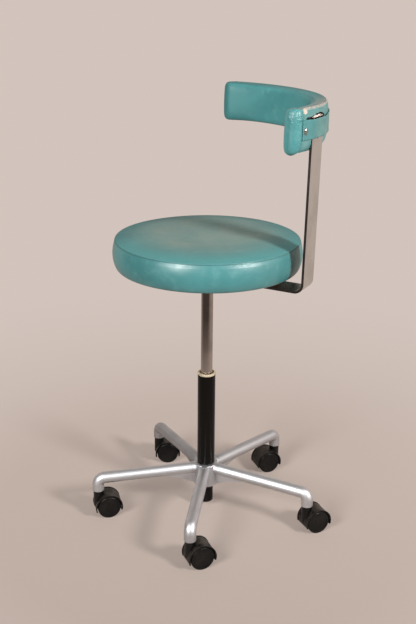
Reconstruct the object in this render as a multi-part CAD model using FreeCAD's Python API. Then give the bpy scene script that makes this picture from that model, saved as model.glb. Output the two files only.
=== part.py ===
import FreeCAD, Part
import math
import os

# Laboratory stool: a round cushioned seat on a gas column, a curved padded rest
# on a flat steel bar, and a five-arm base on hooded twin-wheel casters.
# Millimetres, +Z up, origin on the floor under the column axis,
# +Y towards the middle of the curved rest, column fully raised.

# Fits
running_gap = 0.05          # radial, between a turning or sliding piece and its bore
soft_gap = 0.3              # between padding and the hard piece beside it
face_gap = 0.2              # between flat faces that turn on each other

# Seat
seat_height = 631.0         # floor to the top of the crown
seat_radius = 193.0         # at the fullest part of the band
seam_inset = 3.0            # sewn edge between the top panel and the band, in from the fullest part
rim_inset = 5.0             # lower edge of the band
band_height = 58.0
crown_height = 10.0
shoulder_inset = 33.0       # where the crown turns down to the seam
shoulder_drop = 3.0
shoulder_fullness = 2.0
rim_round = 6.0             # rounding of the band's lower edge
board_inset = 15.0
board_thickness = 12.0
rim_drop = 3.0              # how far the band hangs below the board
hem_width = 26.0            # upholstery turned in under the board
hem_thickness = 1.2

# Seat plate and its release lever
plate_depth = 18.0          # board underside to the plate's lowest face
plate_sheet = 3.0
plate_half_length = 80.0    # along the back bar
plate_half_width = 48.0
plate_corner = 14.0
plate_round = 4.0           # bottom edge of the pressing
flange_width = 18.0
plate_socket_wall = 7.5
plate_socket_length = 34.0
screw_radius = 2.25
screw_head_radius = 4.5
screw_head_height = 2.6
screw_bite = 9.0            # depth of a wood screw in the board
screw_hole_gap = 0.3
lever_angle = -17.4         # from the back bar, seen from above
lever_thickness = 6.0
lever_depth = 5.0
lever_nose = 7.0            # reach of the lever past the release pin
lever_pivot_reach = 30.0
lever_pivot_radius = 2.5
lever_boss_radius = 5.0
lever_crank_reach = 91.0
lever_crank_run = 9.0
lever_crank_drop = 6.5
lever_reach = 143.0
lever_slot_gap = 1.5
ear_thickness = 3.0
ear_gap = 0.4
grip_length = 40.0
grip_width = 12.0
grip_height = 10.0
grip_round = 2.5
grip_end_wall = 2.0

# Gas column
cylinder_radius = 12.5
cylinder_wall = 2.0
cylinder_cap = 10.0
lift_travel = 160.0
rod_radius = 5.0
gland_length = 20.0
piston_length = 12.0
piston_gap = 2.0            # piston to gland when fully raised
pin_radius = 3.0
pin_head_radius = 4.5
pin_head_length = 5.0
pin_stand = 4.0             # release pin above the cylinder's top
pin_lever_gap = 0.5
stop_height = 14.0          # rubber bump stop
stop_side_gap = 3.0         # bump stop to the tube's bore
stop_gap = 2.0              # left below the cylinder when fully lowered
washer_side_gap = 2.0       # thrust washers to the tube's bore
washer_thickness = 1.4
ball_radius = 1.5
ball_count = 10
ball_circle_radius = 8.5
cage_thickness = 1.6
cage_half_width = 2.2
clip_radius = 9.0
clip_thickness = 1.5
clip_groove_depth = 1.0
rod_end = 3.0               # rod below its clip

# Column tube
tube_wall = 5.0
tube_top_z = 321.0
tube_shoulder = 3.0         # step down to the spigot that passes through the hub
spigot_bottom_z = 14.0
spigot_chamfer = 3.0
tube_floor_thickness = 4.0
tube_recess_depth = 6.0     # room for the rod's clip under the tube's floor
tube_recess_radius = 12.0
bush_wall = 1.45
bush_length = 70.0
bush_flange = 4.5
bush_rim = 3.2              # width of the flange's rim round its recess
bush_recess_depth = 3.0
bush_round = 1.0

# Base
arm_count = 5
first_arm_angle = 47.8
arm_radius = 12.5
arm_rise = 7.0              # arm's centre line from the leg up to the hub
arm_joint_radius = 33.0     # joint line between the hub and an arm
arm_joint_groove = 0.7      # depth and half width of the joint line
caster_circle_radius = 238.4
elbow_radius = 15.0
leg_length = 29.0           # leg's lower end to where its centre line meets the arm's
leg_round = 1.5
web_thickness = 11.0
web_foot = 3.0              # web's lower corner above the hub's underside
web_reach = 128.0
web_sink = 6.0              # web's tip above the arm's underside
web_hollow = 5.0            # how far the web's lower edge curves in
hub_wall = 10.0
hub_above = 12.0            # hub's top above the arms' centre line
hub_below = 38.0
hub_round = 2.0

# Casters, each with the heading that it stands at
caster_headings = (98.1, 273.1, 78.1, 89.1, 96.1)
caster_trail = 20.0
stem_radius = 5.5
stem_depth = 28.0           # in the leg
stem_bore_extra = 2.0
stem_neck = 7.2             # leg's lower end above the hood's crown
stem_seat = 13.0            # in the hood
boss_radius = 11.0
wheel_radius = 25.0
wheel_width = 17.0
wheel_round = 2.0
wheel_rim_inner = 20.0      # recessed disc inside the wheel's raised rim
wheel_recess = 1.0
wheel_cap_radius = 7.0
wheel_side_gap = 0.4
axle_radius = 4.0
axle_depth = 12.0           # in each wheel
hood_wall = 2.0
hood_wheel_gap = 2.0
hood_web = 6.0
hood_side_gap = 0.6         # hood edge beyond the wheel's outer face
hood_rim = 0.8              # raised edge along both sides of the hood
hood_rim_width = 3.0
hood_skirt = 8.0            # how far the hood reaches below the axle

# Back bar
bar_angle = 45.0            # seen from above, from +X
bar_width = 50.0
bar_thickness = 5.0
bar_seat_gap = 25.0         # bar's inner face to the fullest part of the seat
bar_bend_radius = 15.0
bar_lean = 1.0              # degrees outwards
bar_start = 28.0            # bar's inner end from the column axis
bolt_reaches = (44.0, 67.0)
bolt_radius = 4.0
bolt_hole_gap = 0.2
bolt_head_across = 13.0
bolt_head_height = 5.3
bolt_nut_height = 6.5
bolt_end = 1.5              # bolt beyond its nut

# Curved rest
rest_rise = 199.2           # seat seam to the pad's lower edge
pad_height = 81.6
pad_thickness = 35.5
pad_outer_radius = 251.0
pad_edge_round = 9.0
pad_face_crown = 1.5
pad_edge_crown = 0.8
pad_start = -13.5           # degrees from the bar to the round ends' centres
pad_end = 100.2
core_thickness = 6.0        # bent plywood inside the pad
core_height = 56.0
core_cover = 2.0            # padding between the bar and the core
core_end_inset = 3.0        # degrees
core_screw_radius = 3.0
core_screw_head_radius = 5.5
core_screw_rises = (27.0, 44.0)
bar_top_rise = 60.0         # bar's end above the pad's lower edge
bar_end_room = 5.5          # length of the pad's slot beyond the bar's end
strip_bottom_rise = 24.7
strip_top_rise = 61.5
strip_thickness = 1.8
strip_end_inset = 0.05      # degrees from the pad's round ends
tack_inset = 1.8            # degrees
tack_stand = 0.1            # from the strip to a tack's head
tack_head_radius = 5.0
tack_head_height = 2.8
tack_pin_radius = 0.9
tack_pin_length = 10.0

# Sizes worked out from those above
seam_radius = seat_radius - seam_inset
rim_radius = seat_radius - rim_inset
shoulder_radius = seat_radius - shoulder_inset
board_radius = seat_radius - board_inset
plate_socket_radius = cylinder_radius + plate_socket_wall
bush_bore_radius = cylinder_radius + running_gap
tube_bore_radius = bush_bore_radius + bush_wall
tube_radius = tube_bore_radius + tube_wall
spigot_radius = tube_radius - tube_shoulder
hub_radius = spigot_radius + hub_wall
washer_radius = tube_bore_radius - washer_side_gap
stop_radius = tube_bore_radius - stop_side_gap
hood_radius = wheel_radius + hood_wheel_gap + hood_wall
hood_half_width = hood_web / 2 + wheel_side_gap + wheel_width + hood_side_gap
leg_bottom_z = wheel_radius + hood_radius + hood_rim + stem_neck
boss_top_z = leg_bottom_z - face_gap
arm_corner_z = leg_bottom_z + leg_length
arm_root_z = arm_corner_z + arm_rise
hub_top_z = arm_root_z + hub_above
hub_bottom_z = arm_root_z - hub_below
web_bottom_z = hub_bottom_z + web_foot
seam_z = seat_height - crown_height
rim_z = seam_z - band_height
board_z = rim_z + rim_drop
board_top_z = board_z + board_thickness
plate_z = board_z - plate_depth
plate_floor_z = plate_z + plate_sheet
tube_floor_z = spigot_bottom_z + tube_recess_depth
bearing_z = tube_floor_z + tube_floor_thickness
ball_z = bearing_z + washer_thickness + running_gap + ball_radius
upper_washer_z = ball_z + ball_radius
stop_z = upper_washer_z + washer_thickness
cylinder_z = stop_z + stop_height + stop_gap + lift_travel
piston_z = cylinder_z + gland_length + piston_gap
clip_z = tube_floor_z - face_gap - clip_thickness
cylinder_bore = cylinder_radius - cylinder_wall
lever_z = plate_floor_z + pin_stand + pin_lever_gap
lever_pivot_z = lever_z + lever_depth / 2
bar_z = plate_z - bar_thickness
bend_x = seat_radius + bar_seat_gap - bar_bend_radius
bend_z = plate_z + bar_bend_radius
pad_z = seam_z + rest_rise
pad_mid_radius = pad_outer_radius - pad_thickness / 2
pad_axis_x = bend_x + bar_bend_radius + bar_thickness - pad_outer_radius  # bar let in flush
core_outer_radius = pad_outer_radius - bar_thickness - core_cover

UP = FreeCAD.Vector(0, 0, 1)
ALONG_Y = FreeCAD.Vector(0, 1, 0)
ORIGIN = FreeCAD.Vector(0, 0, 0)


def vec(x, y, z):
    return FreeCAD.Vector(x, y, z)


def polar(radius, degrees, z=0.0):
    angle = math.radians(degrees)
    return vec(radius * math.cos(angle), radius * math.sin(angle), z)


def save(shape, node):
    shape.exportStep("parts/" + node + ".step")


def disc(radius, low, high, x=0.0, y=0.0):
    return Part.makeCylinder(radius, high - low, vec(x, y, low), UP)


def ring(outer, inner, low, high):
    return disc(outer, low, high).cut(disc(inner, low, high))


def box(x_range, y_range, z_range):
    corner = vec(x_range[0], y_range[0], z_range[0])
    size = [high - low for low, high in (x_range, y_range, z_range)]
    return Part.makeBox(size[0], size[1], size[2], corner)


def rounded_box(half_length, half_width, low, high, corner):
    solid = box((-half_length, half_length), (-half_width, half_width), (low, high))
    upright = [e for e in solid.Edges if abs(e.Vertexes[0].Z - e.Vertexes[1].Z) > (high - low) / 2]
    return solid.makeFillet(corner, upright)


def side_face(points):
    """A face in the XZ plane from its corner points."""
    corners = [vec(x, 0, z) for x, z in points]
    return Part.Face(Part.makePolygon(corners + corners[:1]))


def slab(points, thickness):
    """A plate on edge in the XZ plane, centred on it."""
    solid = side_face(points).extrude(vec(0, thickness, 0))
    solid.translate(vec(0, -thickness / 2, 0))
    return solid


def turned(points):
    """A solid of revolution about Z from a half section of (radius, z) points."""
    return side_face(points).revolve(ORIGIN, UP, 360)


def hexagon(flats, low, high, x):
    corners = [polar(flats / math.sqrt(3), 60 * k) + vec(x, 0, low) for k in range(6)]
    return Part.Face(Part.makePolygon(corners + corners[:1])).extrude(vec(0, 0, high - low))


def edge_face(edges):
    """A face from a closed run of lines and arcs."""
    return Part.Face(Part.Wire(Part.__sortEdges__([edge.toShape() for edge in edges])))


def about_column(shape, degrees):
    turned_shape = shape.copy()
    turned_shape.rotate(ORIGIN, UP, degrees)
    return turned_shape


def circle_edges(shape, z, radius):
    """The edges at one height that lie on a circle of this radius about Z."""
    found = []
    for edge in shape.Edges:
        box_of_edge = edge.BoundBox
        level = abs(box_of_edge.ZMin - z) < 1e-6 and abs(box_of_edge.ZMax - z) < 1e-6
        if level and abs(box_of_edge.XMax - radius) < 1e-3:
            found.append(edge)
    return found


# Base: a hub with five stubs, and five bent arms butted on the stubs

arm_drop = math.atan2(arm_root_z - arm_corner_z, caster_circle_radius - arm_joint_radius)
arm_direction = vec(math.cos(arm_drop), 0, -math.sin(arm_drop))


def arm_line(x):
    """Height of an arm's centre line at a distance from the column axis."""
    return arm_root_z - (x - arm_joint_radius) * math.tan(arm_drop)


def arm_point(x):
    return vec(x, 0, arm_line(x))


def arm_run(x_from, x_to, radius):
    """A round bar along the arm's centre line."""
    length = (x_to - x_from) / math.cos(arm_drop)
    return Part.makeCylinder(radius, length, arm_point(x_from), arm_direction)


def joint_line():
    start = arm_joint_radius - arm_joint_groove
    end = arm_joint_radius + arm_joint_groove
    collar = arm_run(start, end, arm_radius + arm_joint_groove)
    return collar.cut(arm_run(start, end, arm_radius - arm_joint_groove))


def web():
    """The rib under an arm, deepest at the hub."""
    tip_z = arm_line(web_reach) - arm_radius + web_sink
    middle_z = (web_bottom_z + tip_z) / 2 + web_hollow
    root = vec(hub_radius, 0, web_bottom_z)
    tip = vec(web_reach, 0, tip_z)
    edges = [
        Part.LineSegment(vec(0, 0, web_bottom_z), root),
        Part.Arc(root, vec((hub_radius + web_reach) / 2, 0, middle_z), tip),
        Part.LineSegment(tip, arm_point(web_reach)),
        Part.LineSegment(arm_point(web_reach), arm_point(0)),
        Part.LineSegment(arm_point(0), vec(0, 0, web_bottom_z)),
    ]
    solid = edge_face(edges).extrude(vec(0, web_thickness, 0))
    solid.translate(vec(0, -web_thickness / 2, 0))
    return solid


def spoke():
    """A stub, its arm and its web in one, to be parted at the joint line."""
    turn = 90 - math.degrees(arm_drop)
    setback = elbow_radius * math.tan(math.radians(turn / 2))
    bend_start = arm_point(caster_circle_radius - setback * math.cos(arm_drop))
    section = Part.Face(Part.Wire(Part.makeCircle(arm_radius, bend_start, arm_direction)))
    centre = bend_start + vec(-math.sin(arm_drop), 0, -math.cos(arm_drop)) * elbow_radius
    elbow = section.revolve(centre, ALONG_Y, turn)
    leg = disc(arm_radius, leg_bottom_z, centre.z)
    leg = leg.makeFillet(leg_round, circle_edges(leg, leg_bottom_z, arm_radius))
    leg.translate(vec(caster_circle_radius, 0, 0))
    run = arm_run(0, bend_start.x, arm_radius).cut(joint_line())
    solid = run.fuse([elbow, leg]).removeSplitter()
    return solid.fuse(web()).removeSplitter()


def spoke_part(x_range):
    wide = caster_circle_radius
    return spoke().common(box(x_range, (-wide, wide), (0, wide)))


def arm_angles():
    return [first_arm_angle + 360.0 / arm_count * k for k in range(arm_count)]


def hub():
    body = disc(hub_radius, hub_bottom_z, hub_top_z)
    body = body.makeFillet(hub_round, circle_edges(body, hub_top_z, hub_radius))
    stub = spoke_part((0, arm_joint_radius))
    for angle in arm_angles():
        body = body.fuse(about_column(stub, angle))
    body = body.cut(disc(tube_radius, hub_top_z, hub_top_z + arm_radius))
    return body.cut(disc(spigot_radius, 0, hub_top_z)).removeSplitter()


def arm():
    bore_top = leg_bottom_z + stem_depth + stem_bore_extra
    bore = disc(stem_radius + running_gap, 0, bore_top, caster_circle_radius)
    return spoke_part((arm_joint_radius, 2 * caster_circle_radius)).cut(bore)


# Casters, built with the stem on Z and the wheels trailing along +X

def across(radius, y_range, x, z):
    """A cylinder along Y."""
    return Part.makeCylinder(radius, y_range[1] - y_range[0], vec(x, y_range[0], z), ALONG_Y)


def caster_stem():
    return disc(stem_radius, boss_top_z - stem_seat, leg_bottom_z + stem_depth)


def caster_hood():
    half = hood_half_width
    solid = across(hood_radius, (-half, half), caster_trail, wheel_radius)
    for edge_y in (-half, half - hood_rim_width):
        rim = across(hood_radius + hood_rim, (edge_y, edge_y + hood_rim_width), caster_trail, wheel_radius)
        solid = solid.fuse(rim)
    solid = solid.fuse(disc(boss_radius, wheel_radius, boss_top_z))
    well_radius = wheel_radius + hood_wheel_gap
    for well in ((-half, -hood_web / 2), (hood_web / 2, half)):
        solid = solid.cut(across(well_radius, well, caster_trail, wheel_radius))
    reach = caster_trail + 2 * hood_radius
    below = box((-reach, reach), (-half, half), (-hood_radius, wheel_radius - hood_skirt))
    solid = solid.cut(below)
    solid = solid.cut(across(axle_radius, (-half, half), caster_trail, wheel_radius))
    return solid.cut(caster_stem()).removeSplitter()


def caster_axle():
    reach = hood_web / 2 + wheel_side_gap + axle_depth
    return across(axle_radius, (-reach, reach), caster_trail, wheel_radius)


def caster_wheel(side):
    """A wheel turned about Z with its inner face at 0, then laid beside the web."""
    recess_z = wheel_width - wheel_recess
    tread = disc(wheel_radius, 0, wheel_width)
    edges = circle_edges(tread, 0, wheel_radius) + circle_edges(tread, wheel_width, wheel_radius)
    wheel = tread.makeFillet(wheel_round, edges)
    wheel = wheel.cut(ring(wheel_rim_inner, wheel_cap_radius, recess_z, wheel_width))
    wheel = wheel.cut(disc(axle_radius + running_gap, 0, axle_depth + face_gap))
    wheel.rotate(ORIGIN, vec(1, 0, 0), -90 * side)
    wheel.translate(vec(caster_trail, side * (hood_web / 2 + wheel_side_gap), wheel_radius))
    return wheel


def at_caster(shape, number):
    placed = about_column(shape, caster_headings[number])
    placed.translate(polar(caster_circle_radius, arm_angles()[number]))
    return placed


# Column

def column_tube():
    outline = [(0, tube_floor_z), (tube_recess_radius, tube_floor_z), (tube_recess_radius, spigot_bottom_z)]
    outline += [(spigot_radius - spigot_chamfer, spigot_bottom_z)]
    outline += [(spigot_radius, spigot_bottom_z + spigot_chamfer), (spigot_radius, hub_top_z)]
    outline += [(tube_radius, hub_top_z), (tube_radius, tube_top_z), (tube_bore_radius, tube_top_z)]
    outline += [(tube_bore_radius, bearing_z), (0, bearing_z)]
    return turned(outline).cut(disc(rod_radius + running_gap, 0, bearing_z))


def guide_bush():
    flange_top = tube_top_z + bush_flange
    flange = disc(tube_radius, tube_top_z, flange_top)
    flange = flange.makeFillet(bush_round, circle_edges(flange, flange_top, tube_radius))
    sleeve = disc(tube_bore_radius, tube_top_z - bush_length, tube_top_z)
    bore = disc(bush_bore_radius, tube_top_z - bush_length, flange_top)
    recess = disc(tube_radius - bush_rim, flange_top - bush_recess_depth, flange_top)
    return flange.fuse(sleeve).removeSplitter().cut(bore).cut(recess)


def piston_rod():
    rod = disc(rod_radius, clip_z - rod_end, piston_z + piston_length)
    groove = ring(rod_radius, rod_radius - clip_groove_depth, clip_z, clip_z + clip_thickness)
    return rod.cut(groove)


def ball_cage():
    cage_z = ball_z - cage_thickness / 2
    cage = ring(ball_circle_radius + cage_half_width, ball_circle_radius - cage_half_width,
                cage_z, cage_z + cage_thickness)
    for k in range(ball_count):
        place = polar(ball_circle_radius, 360.0 / ball_count * k, ball_z)
        cage = cage.fuse(Part.makeSphere(ball_radius, place))
    return cage


def thrust_washer(low):
    return ring(washer_radius, rod_radius + running_gap, low, low + washer_thickness)


def retaining_clip():
    return ring(clip_radius, rod_radius - clip_groove_depth, clip_z, clip_z + clip_thickness)


def gas_cylinder():
    tube = disc(cylinder_radius, cylinder_z, plate_floor_z)
    hollow = disc(cylinder_bore, cylinder_z, plate_floor_z - cylinder_cap)
    return tube.cut(hollow).cut(disc(pin_radius + running_gap, cylinder_z, plate_floor_z))


def release_pin():
    head_top = plate_floor_z - cylinder_cap - face_gap
    head = disc(pin_head_radius, head_top - pin_head_length, head_top)
    return head.fuse(disc(pin_radius, head_top, plate_floor_z + pin_stand)).removeSplitter()


# Seat plate: a pressed tray under the board, drawn with the back bar along +X

def screw_places():
    x = plate_half_length - 2 * plate_corner
    y = plate_half_width + flange_width / 2
    return [(sx * x, sy * y) for sx in (-1, 1) for sy in (-1, 1)]


def lever_ear(side):
    """One of the two upright ears that hold the lever's pivot pin."""
    ear = box((-lever_boss_radius, lever_boss_radius), (0, ear_thickness),
              (plate_floor_z, lever_pivot_z + lever_boss_radius))
    offset = lever_thickness / 2 + ear_gap
    ear.translate(vec(lever_pivot_reach, offset if side > 0 else -offset - ear_thickness, 0))
    return ear


def seat_plate():
    outer = rounded_box(plate_half_length, plate_half_width, plate_z, board_z, plate_corner)
    outer = outer.makeFillet(plate_round, [e for e in outer.Edges if e.BoundBox.ZMax < plate_floor_z])
    flange = rounded_box(plate_half_length + flange_width, plate_half_width + flange_width,
                         board_z - plate_sheet, board_z, plate_corner + flange_width)
    hollow = rounded_box(plate_half_length - plate_sheet, plate_half_width - plate_sheet,
                         plate_floor_z, board_z, plate_corner - plate_sheet)
    socket = disc(plate_socket_radius, plate_z - plate_socket_length, plate_z)
    plate = outer.fuse([flange, socket]).cut(hollow)
    slot_half = lever_thickness / 2 + lever_slot_gap
    slot = box((plate_half_length - plate_corner, lever_reach), (-slot_half, slot_half),
               (lever_z - lever_slot_gap, board_z))
    plate = plate.cut(about_column(slot, lever_angle))
    for side in (-1, 1):
        plate = plate.fuse(about_column(lever_ear(side), lever_angle))
    plate = plate.cut(about_column(lever_pivot(), lever_angle))
    plate = plate.cut(disc(cylinder_radius, 0, plate_floor_z))
    for reach in bolt_reaches:
        plate = plate.cut(disc(bolt_radius + bolt_hole_gap, plate_z, plate_floor_z, reach))
    for x, y in screw_places():
        plate = plate.cut(disc(screw_radius + screw_hole_gap, board_z - plate_sheet, board_z, x, y))
    return plate.removeSplitter()


def plate_screws():
    low = board_z - plate_sheet
    screws = []
    for x, y in screw_places():
        head = disc(screw_head_radius, low - screw_head_height, low, x, y)
        screws.append(head.fuse(disc(screw_radius, low, board_z + screw_bite, x, y)).removeSplitter())
    return Part.makeCompound(screws)


def lever_pivot():
    half = lever_thickness / 2 + ear_gap + ear_thickness
    return across(lever_pivot_radius, (-half, half), lever_pivot_reach, lever_pivot_z)


def lever_tang():
    """Section heights of the lever's outer end, where the grip fits over it."""
    return lever_z - lever_crank_drop, lever_z - lever_crank_drop + lever_depth


def release_lever():
    low, high = lever_tang()
    crank_end = lever_crank_reach + lever_crank_run
    tip = lever_reach - grip_end_wall
    half = lever_thickness / 2
    lever_top = lever_z + lever_depth
    outline = [(-lever_nose, lever_z), (lever_crank_reach, lever_z), (crank_end, low), (tip, low)]
    outline += [(tip, high), (crank_end, high), (lever_crank_reach, lever_top), (-lever_nose, lever_top)]
    boss = across(lever_boss_radius, (-half, half), lever_pivot_reach, lever_pivot_z)
    lever = slab(outline, lever_thickness).fuse(boss).removeSplitter()
    hole_radius = lever_pivot_radius + running_gap
    return lever.cut(across(hole_radius, (-half, half), lever_pivot_reach, lever_pivot_z))


def lever_grip():
    low, high = lever_tang()
    middle = (low + high) / 2
    grip = box((lever_reach - grip_length, lever_reach), (-grip_width / 2, grip_width / 2),
               (middle - grip_height / 2, middle + grip_height / 2))
    grip = grip.makeFillet(grip_round, grip.Edges)
    return grip.cut(release_lever())


# Seat

def seat_board():
    board = disc(board_radius, board_z, board_top_z)
    return board.cut(about_column(plate_screws(), bar_angle))


def seat_hem():
    return ring(board_radius, board_radius - hem_width, board_z - hem_thickness, board_z)


def seat_cushion():
    """A crowned top panel, a full band drawn in at seam and rim, and a recess for the board."""
    inner = board_radius + soft_gap
    under = board_top_z + soft_gap
    corner_share = 1 - math.sqrt(0.5)
    recess = vec(inner, 0, under)
    lip = vec(inner, 0, rim_z)
    rim_start = vec(rim_radius - rim_round, 0, rim_z)
    rim_middle = vec(rim_radius - rim_round * corner_share, 0, rim_z + rim_round * corner_share)
    rim_end = vec(rim_radius, 0, rim_z + rim_round)
    waist = vec(seat_radius, 0, (seam_z + rim_z) / 2)
    seam = vec(seam_radius, 0, seam_z)
    shoulder_z = seat_height - shoulder_drop
    shoulder = vec(shoulder_radius, 0, shoulder_z)
    roll = (shoulder + seam) / 2 + vec(shoulder_fullness, 0, shoulder_fullness)
    crown_arc = (shoulder_radius ** 2 + shoulder_drop ** 2) / (2 * shoulder_drop)
    halfway = shoulder_radius / 2
    crown_middle = vec(halfway, 0, seat_height - crown_arc + math.sqrt(crown_arc ** 2 - halfway ** 2))
    top = vec(0, 0, seat_height)
    edges = [
        Part.LineSegment(vec(0, 0, under), recess),
        Part.LineSegment(recess, lip),
        Part.LineSegment(lip, rim_start),
        Part.Arc(rim_start, rim_middle, rim_end),
        Part.Arc(rim_end, waist, seam),
        Part.Arc(seam, roll, shoulder),
        Part.Arc(shoulder, crown_middle, top),
        Part.LineSegment(top, vec(0, 0, under)),
    ]
    return edge_face(edges).revolve(ORIGIN, UP, 360)


# Back bar and the curved rest, drawn with the bar along +X and its upright leg plumb.
# lean_out then tips the rest and the leg outwards together.

def lean_out(shape):
    leaned = shape.copy()
    leaned.rotate(vec(bend_x, 0, bend_z), ALONG_Y, bar_lean)
    return leaned


def to_bar(shape):
    return about_column(shape, bar_angle)


def to_lever(shape):
    return about_column(shape, bar_angle + lever_angle)


def rest_point(radius, degrees, z=0.0):
    """A point of the rest, about the pad's own upright axis."""
    return polar(radius, degrees, z) + vec(pad_axis_x, 0, 0)


def back_bar():
    half = bar_width / 2
    inner_x = bend_x + bar_bend_radius
    flat = box((bar_start, bend_x), (-half, half), (bar_z, plate_z))
    section = box((bend_x, bend_x + bar_thickness), (-half, half), (bar_z, plate_z)).Faces[0]
    bend = section.revolve(vec(bend_x, 0, bend_z), vec(0, -1, 0), 90 - bar_lean)
    leg = box((inner_x, inner_x + bar_thickness), (-half, half), (bend_z, pad_z + bar_top_rise))
    bar = flat.fuse([bend, lean_out(leg)]).removeSplitter()
    for reach in bolt_reaches:
        bar = bar.cut(disc(bolt_radius + bolt_hole_gap, bar_z, plate_z, reach))
    return bar.cut(lean_out(core_screws()))


def bar_bolts():
    bolts = []
    for reach in bolt_reaches:
        head = hexagon(bolt_head_across, bar_z - bolt_head_height, bar_z, reach)
        shank = disc(bolt_radius, bar_z, plate_floor_z + bolt_nut_height + bolt_end, reach)
        bolts.append(head.fuse(shank).removeSplitter())
    return Part.makeCompound(bolts)


def bar_nuts():
    nuts = []
    for reach in bolt_reaches:
        nut = hexagon(bolt_head_across, plate_floor_z, plate_floor_z + bolt_nut_height, reach)
        nuts.append(nut.cut(disc(bolt_radius, plate_z, board_z, reach)))
    return Part.makeCompound(nuts)


def core_screws():
    """Countersunk screws from the bar's outer face into the core."""
    outer_x = bend_x + bar_bend_radius + bar_thickness
    cone_length = core_screw_head_radius - core_screw_radius
    length = bar_thickness + core_cover + core_thickness
    screws = []
    for rise in core_screw_rises:
        start = vec(outer_x, 0, pad_z + rise)
        inwards = vec(-1, 0, 0)
        head = Part.makeCone(core_screw_head_radius, core_screw_radius, cone_length, start, inwards)
        shank = Part.makeCylinder(core_screw_radius, length, start, inwards)
        screws.append(head.fuse(shank).removeSplitter())
    return Part.makeCompound(screws)


def core_sector(extra):
    """The bent plywood core, or with extra room all round, the space for it."""
    outer = core_outer_radius + extra
    inner = core_outer_radius - core_thickness - extra
    low = pad_z + (pad_height - core_height) / 2 - extra
    high = low + core_height + 2 * extra
    extra_angle = math.degrees(extra / pad_mid_radius)
    start = pad_start + core_end_inset - extra_angle
    span = pad_end - pad_start - 2 * core_end_inset + 2 * extra_angle
    face = side_face([(inner, low), (outer, low), (outer, high), (inner, high)])
    face.rotate(ORIGIN, UP, start)
    face.translate(vec(pad_axis_x, 0, 0))
    return face.revolve(vec(pad_axis_x, 0, 0), UP, span)


def rest_core():
    return core_sector(0).cut(core_screws())


def pad_section(half_only):
    """The pad's rounded, crowned section about its middle line, or its outer half."""
    half = pad_thickness / 2
    corner_x = half - pad_face_crown - pad_edge_round
    top_z = pad_height - pad_edge_crown
    slant = pad_edge_round * math.sqrt(0.5)
    side = half - pad_face_crown
    upper = top_z - pad_edge_round
    lower = pad_height - upper
    ease = pad_edge_crown / 4

    def arcs(sign):
        rows = [((0, pad_height), (corner_x / 2, pad_height - ease), (corner_x, top_z)),
                ((corner_x, top_z), (corner_x + slant, upper + slant), (side, upper)),
                ((side, upper), (half, pad_height / 2), (side, lower)),
                ((side, lower), (corner_x + slant, lower - slant), (corner_x, pad_height - top_z)),
                ((corner_x, pad_height - top_z), (corner_x / 2, ease), (0, 0))]
        return [Part.Arc(*[vec(sign * x, 0, z) for x, z in row]) for row in rows]

    if half_only:
        return edge_face(arcs(1) + [Part.LineSegment(vec(0, 0, 0), vec(0, 0, pad_height))])
    return edge_face(arcs(1) + arcs(-1))


def rest_pad():
    section = pad_section(False)
    section.translate(vec(pad_mid_radius, 0, pad_z))
    section.rotate(ORIGIN, UP, pad_start)
    section.translate(vec(pad_axis_x, 0, 0))
    pad = section.revolve(vec(pad_axis_x, 0, 0), UP, pad_end - pad_start)
    for angle, first in ((pad_start, 180), (pad_end, 0)):
        end = pad_section(True)
        end.rotate(ORIGIN, UP, angle + first)
        end.translate(rest_point(pad_mid_radius, angle, pad_z))
        pad = pad.fuse(end.revolve(rest_point(pad_mid_radius, angle), UP, 180))
    inner_x = bend_x + bar_bend_radius
    half_slot = bar_width / 2 + soft_gap
    slot = box((inner_x - soft_gap, inner_x + pad_thickness), (-half_slot, half_slot),
               (pad_z - pad_edge_round, pad_z + bar_top_rise + bar_end_room))
    pad = pad.removeSplitter().cut(core_sector(soft_gap)).cut(slot)
    for rise in core_screw_rises:
        hole = Part.makeCylinder(core_screw_radius + soft_gap, 2 * core_cover,
                                 vec(inner_x, 0, pad_z + rise), vec(-1, 0, 0))
        pad = pad.cut(hole)
    return pad.cut(tack_pins())


def tangent_angle(corner, radius):
    """Where a line from a point outside touches a circle about the pad's axis, beyond the point."""
    distance = math.hypot(corner[0], corner[1])
    return math.degrees(math.atan2(corner[1], corner[0]) + math.acos(radius / distance))


def strip_line(offset):
    """The strip's line in plan: along the pad, flat over the bar and along the pad again."""
    radius = pad_outer_radius + soft_gap + offset
    corner_y = bar_width / 2 + soft_gap + offset / 2
    start = pad_start + strip_end_inset
    end = pad_end - strip_end_inset
    touch = tangent_angle((radius, corner_y), radius)
    on_pad = [rest_point(radius, angle) for angle in (start, (start - touch) / 2, -touch)]
    over_bar = [vec(pad_axis_x + radius, sign * corner_y, 0) for sign in (-1, 1)]
    far = [rest_point(radius, angle) for angle in (touch, (touch + end) / 2, end)]
    edges = [Part.Arc(*on_pad), Part.LineSegment(on_pad[2], over_bar[0]), Part.LineSegment(*over_bar)]
    edges += [Part.LineSegment(over_bar[1], far[0]), Part.Arc(*far)]
    return edges, on_pad[0], far[2]


def cover_strip():
    inner, inner_start, inner_end = strip_line(0)
    outer, outer_start, outer_end = strip_line(strip_thickness)
    ends = [Part.LineSegment(inner_start, outer_start), Part.LineSegment(inner_end, outer_end)]
    strip = edge_face(inner + outer + ends).extrude(vec(0, 0, strip_top_rise - strip_bottom_rise))
    strip.translate(vec(0, 0, pad_z + strip_bottom_rise))
    return strip.cut(tack_pins())


def tack_places():
    middle_z = pad_z + (strip_bottom_rise + strip_top_rise) / 2
    return [(pad_start + tack_inset, middle_z), (pad_end - tack_inset, middle_z)]


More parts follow.
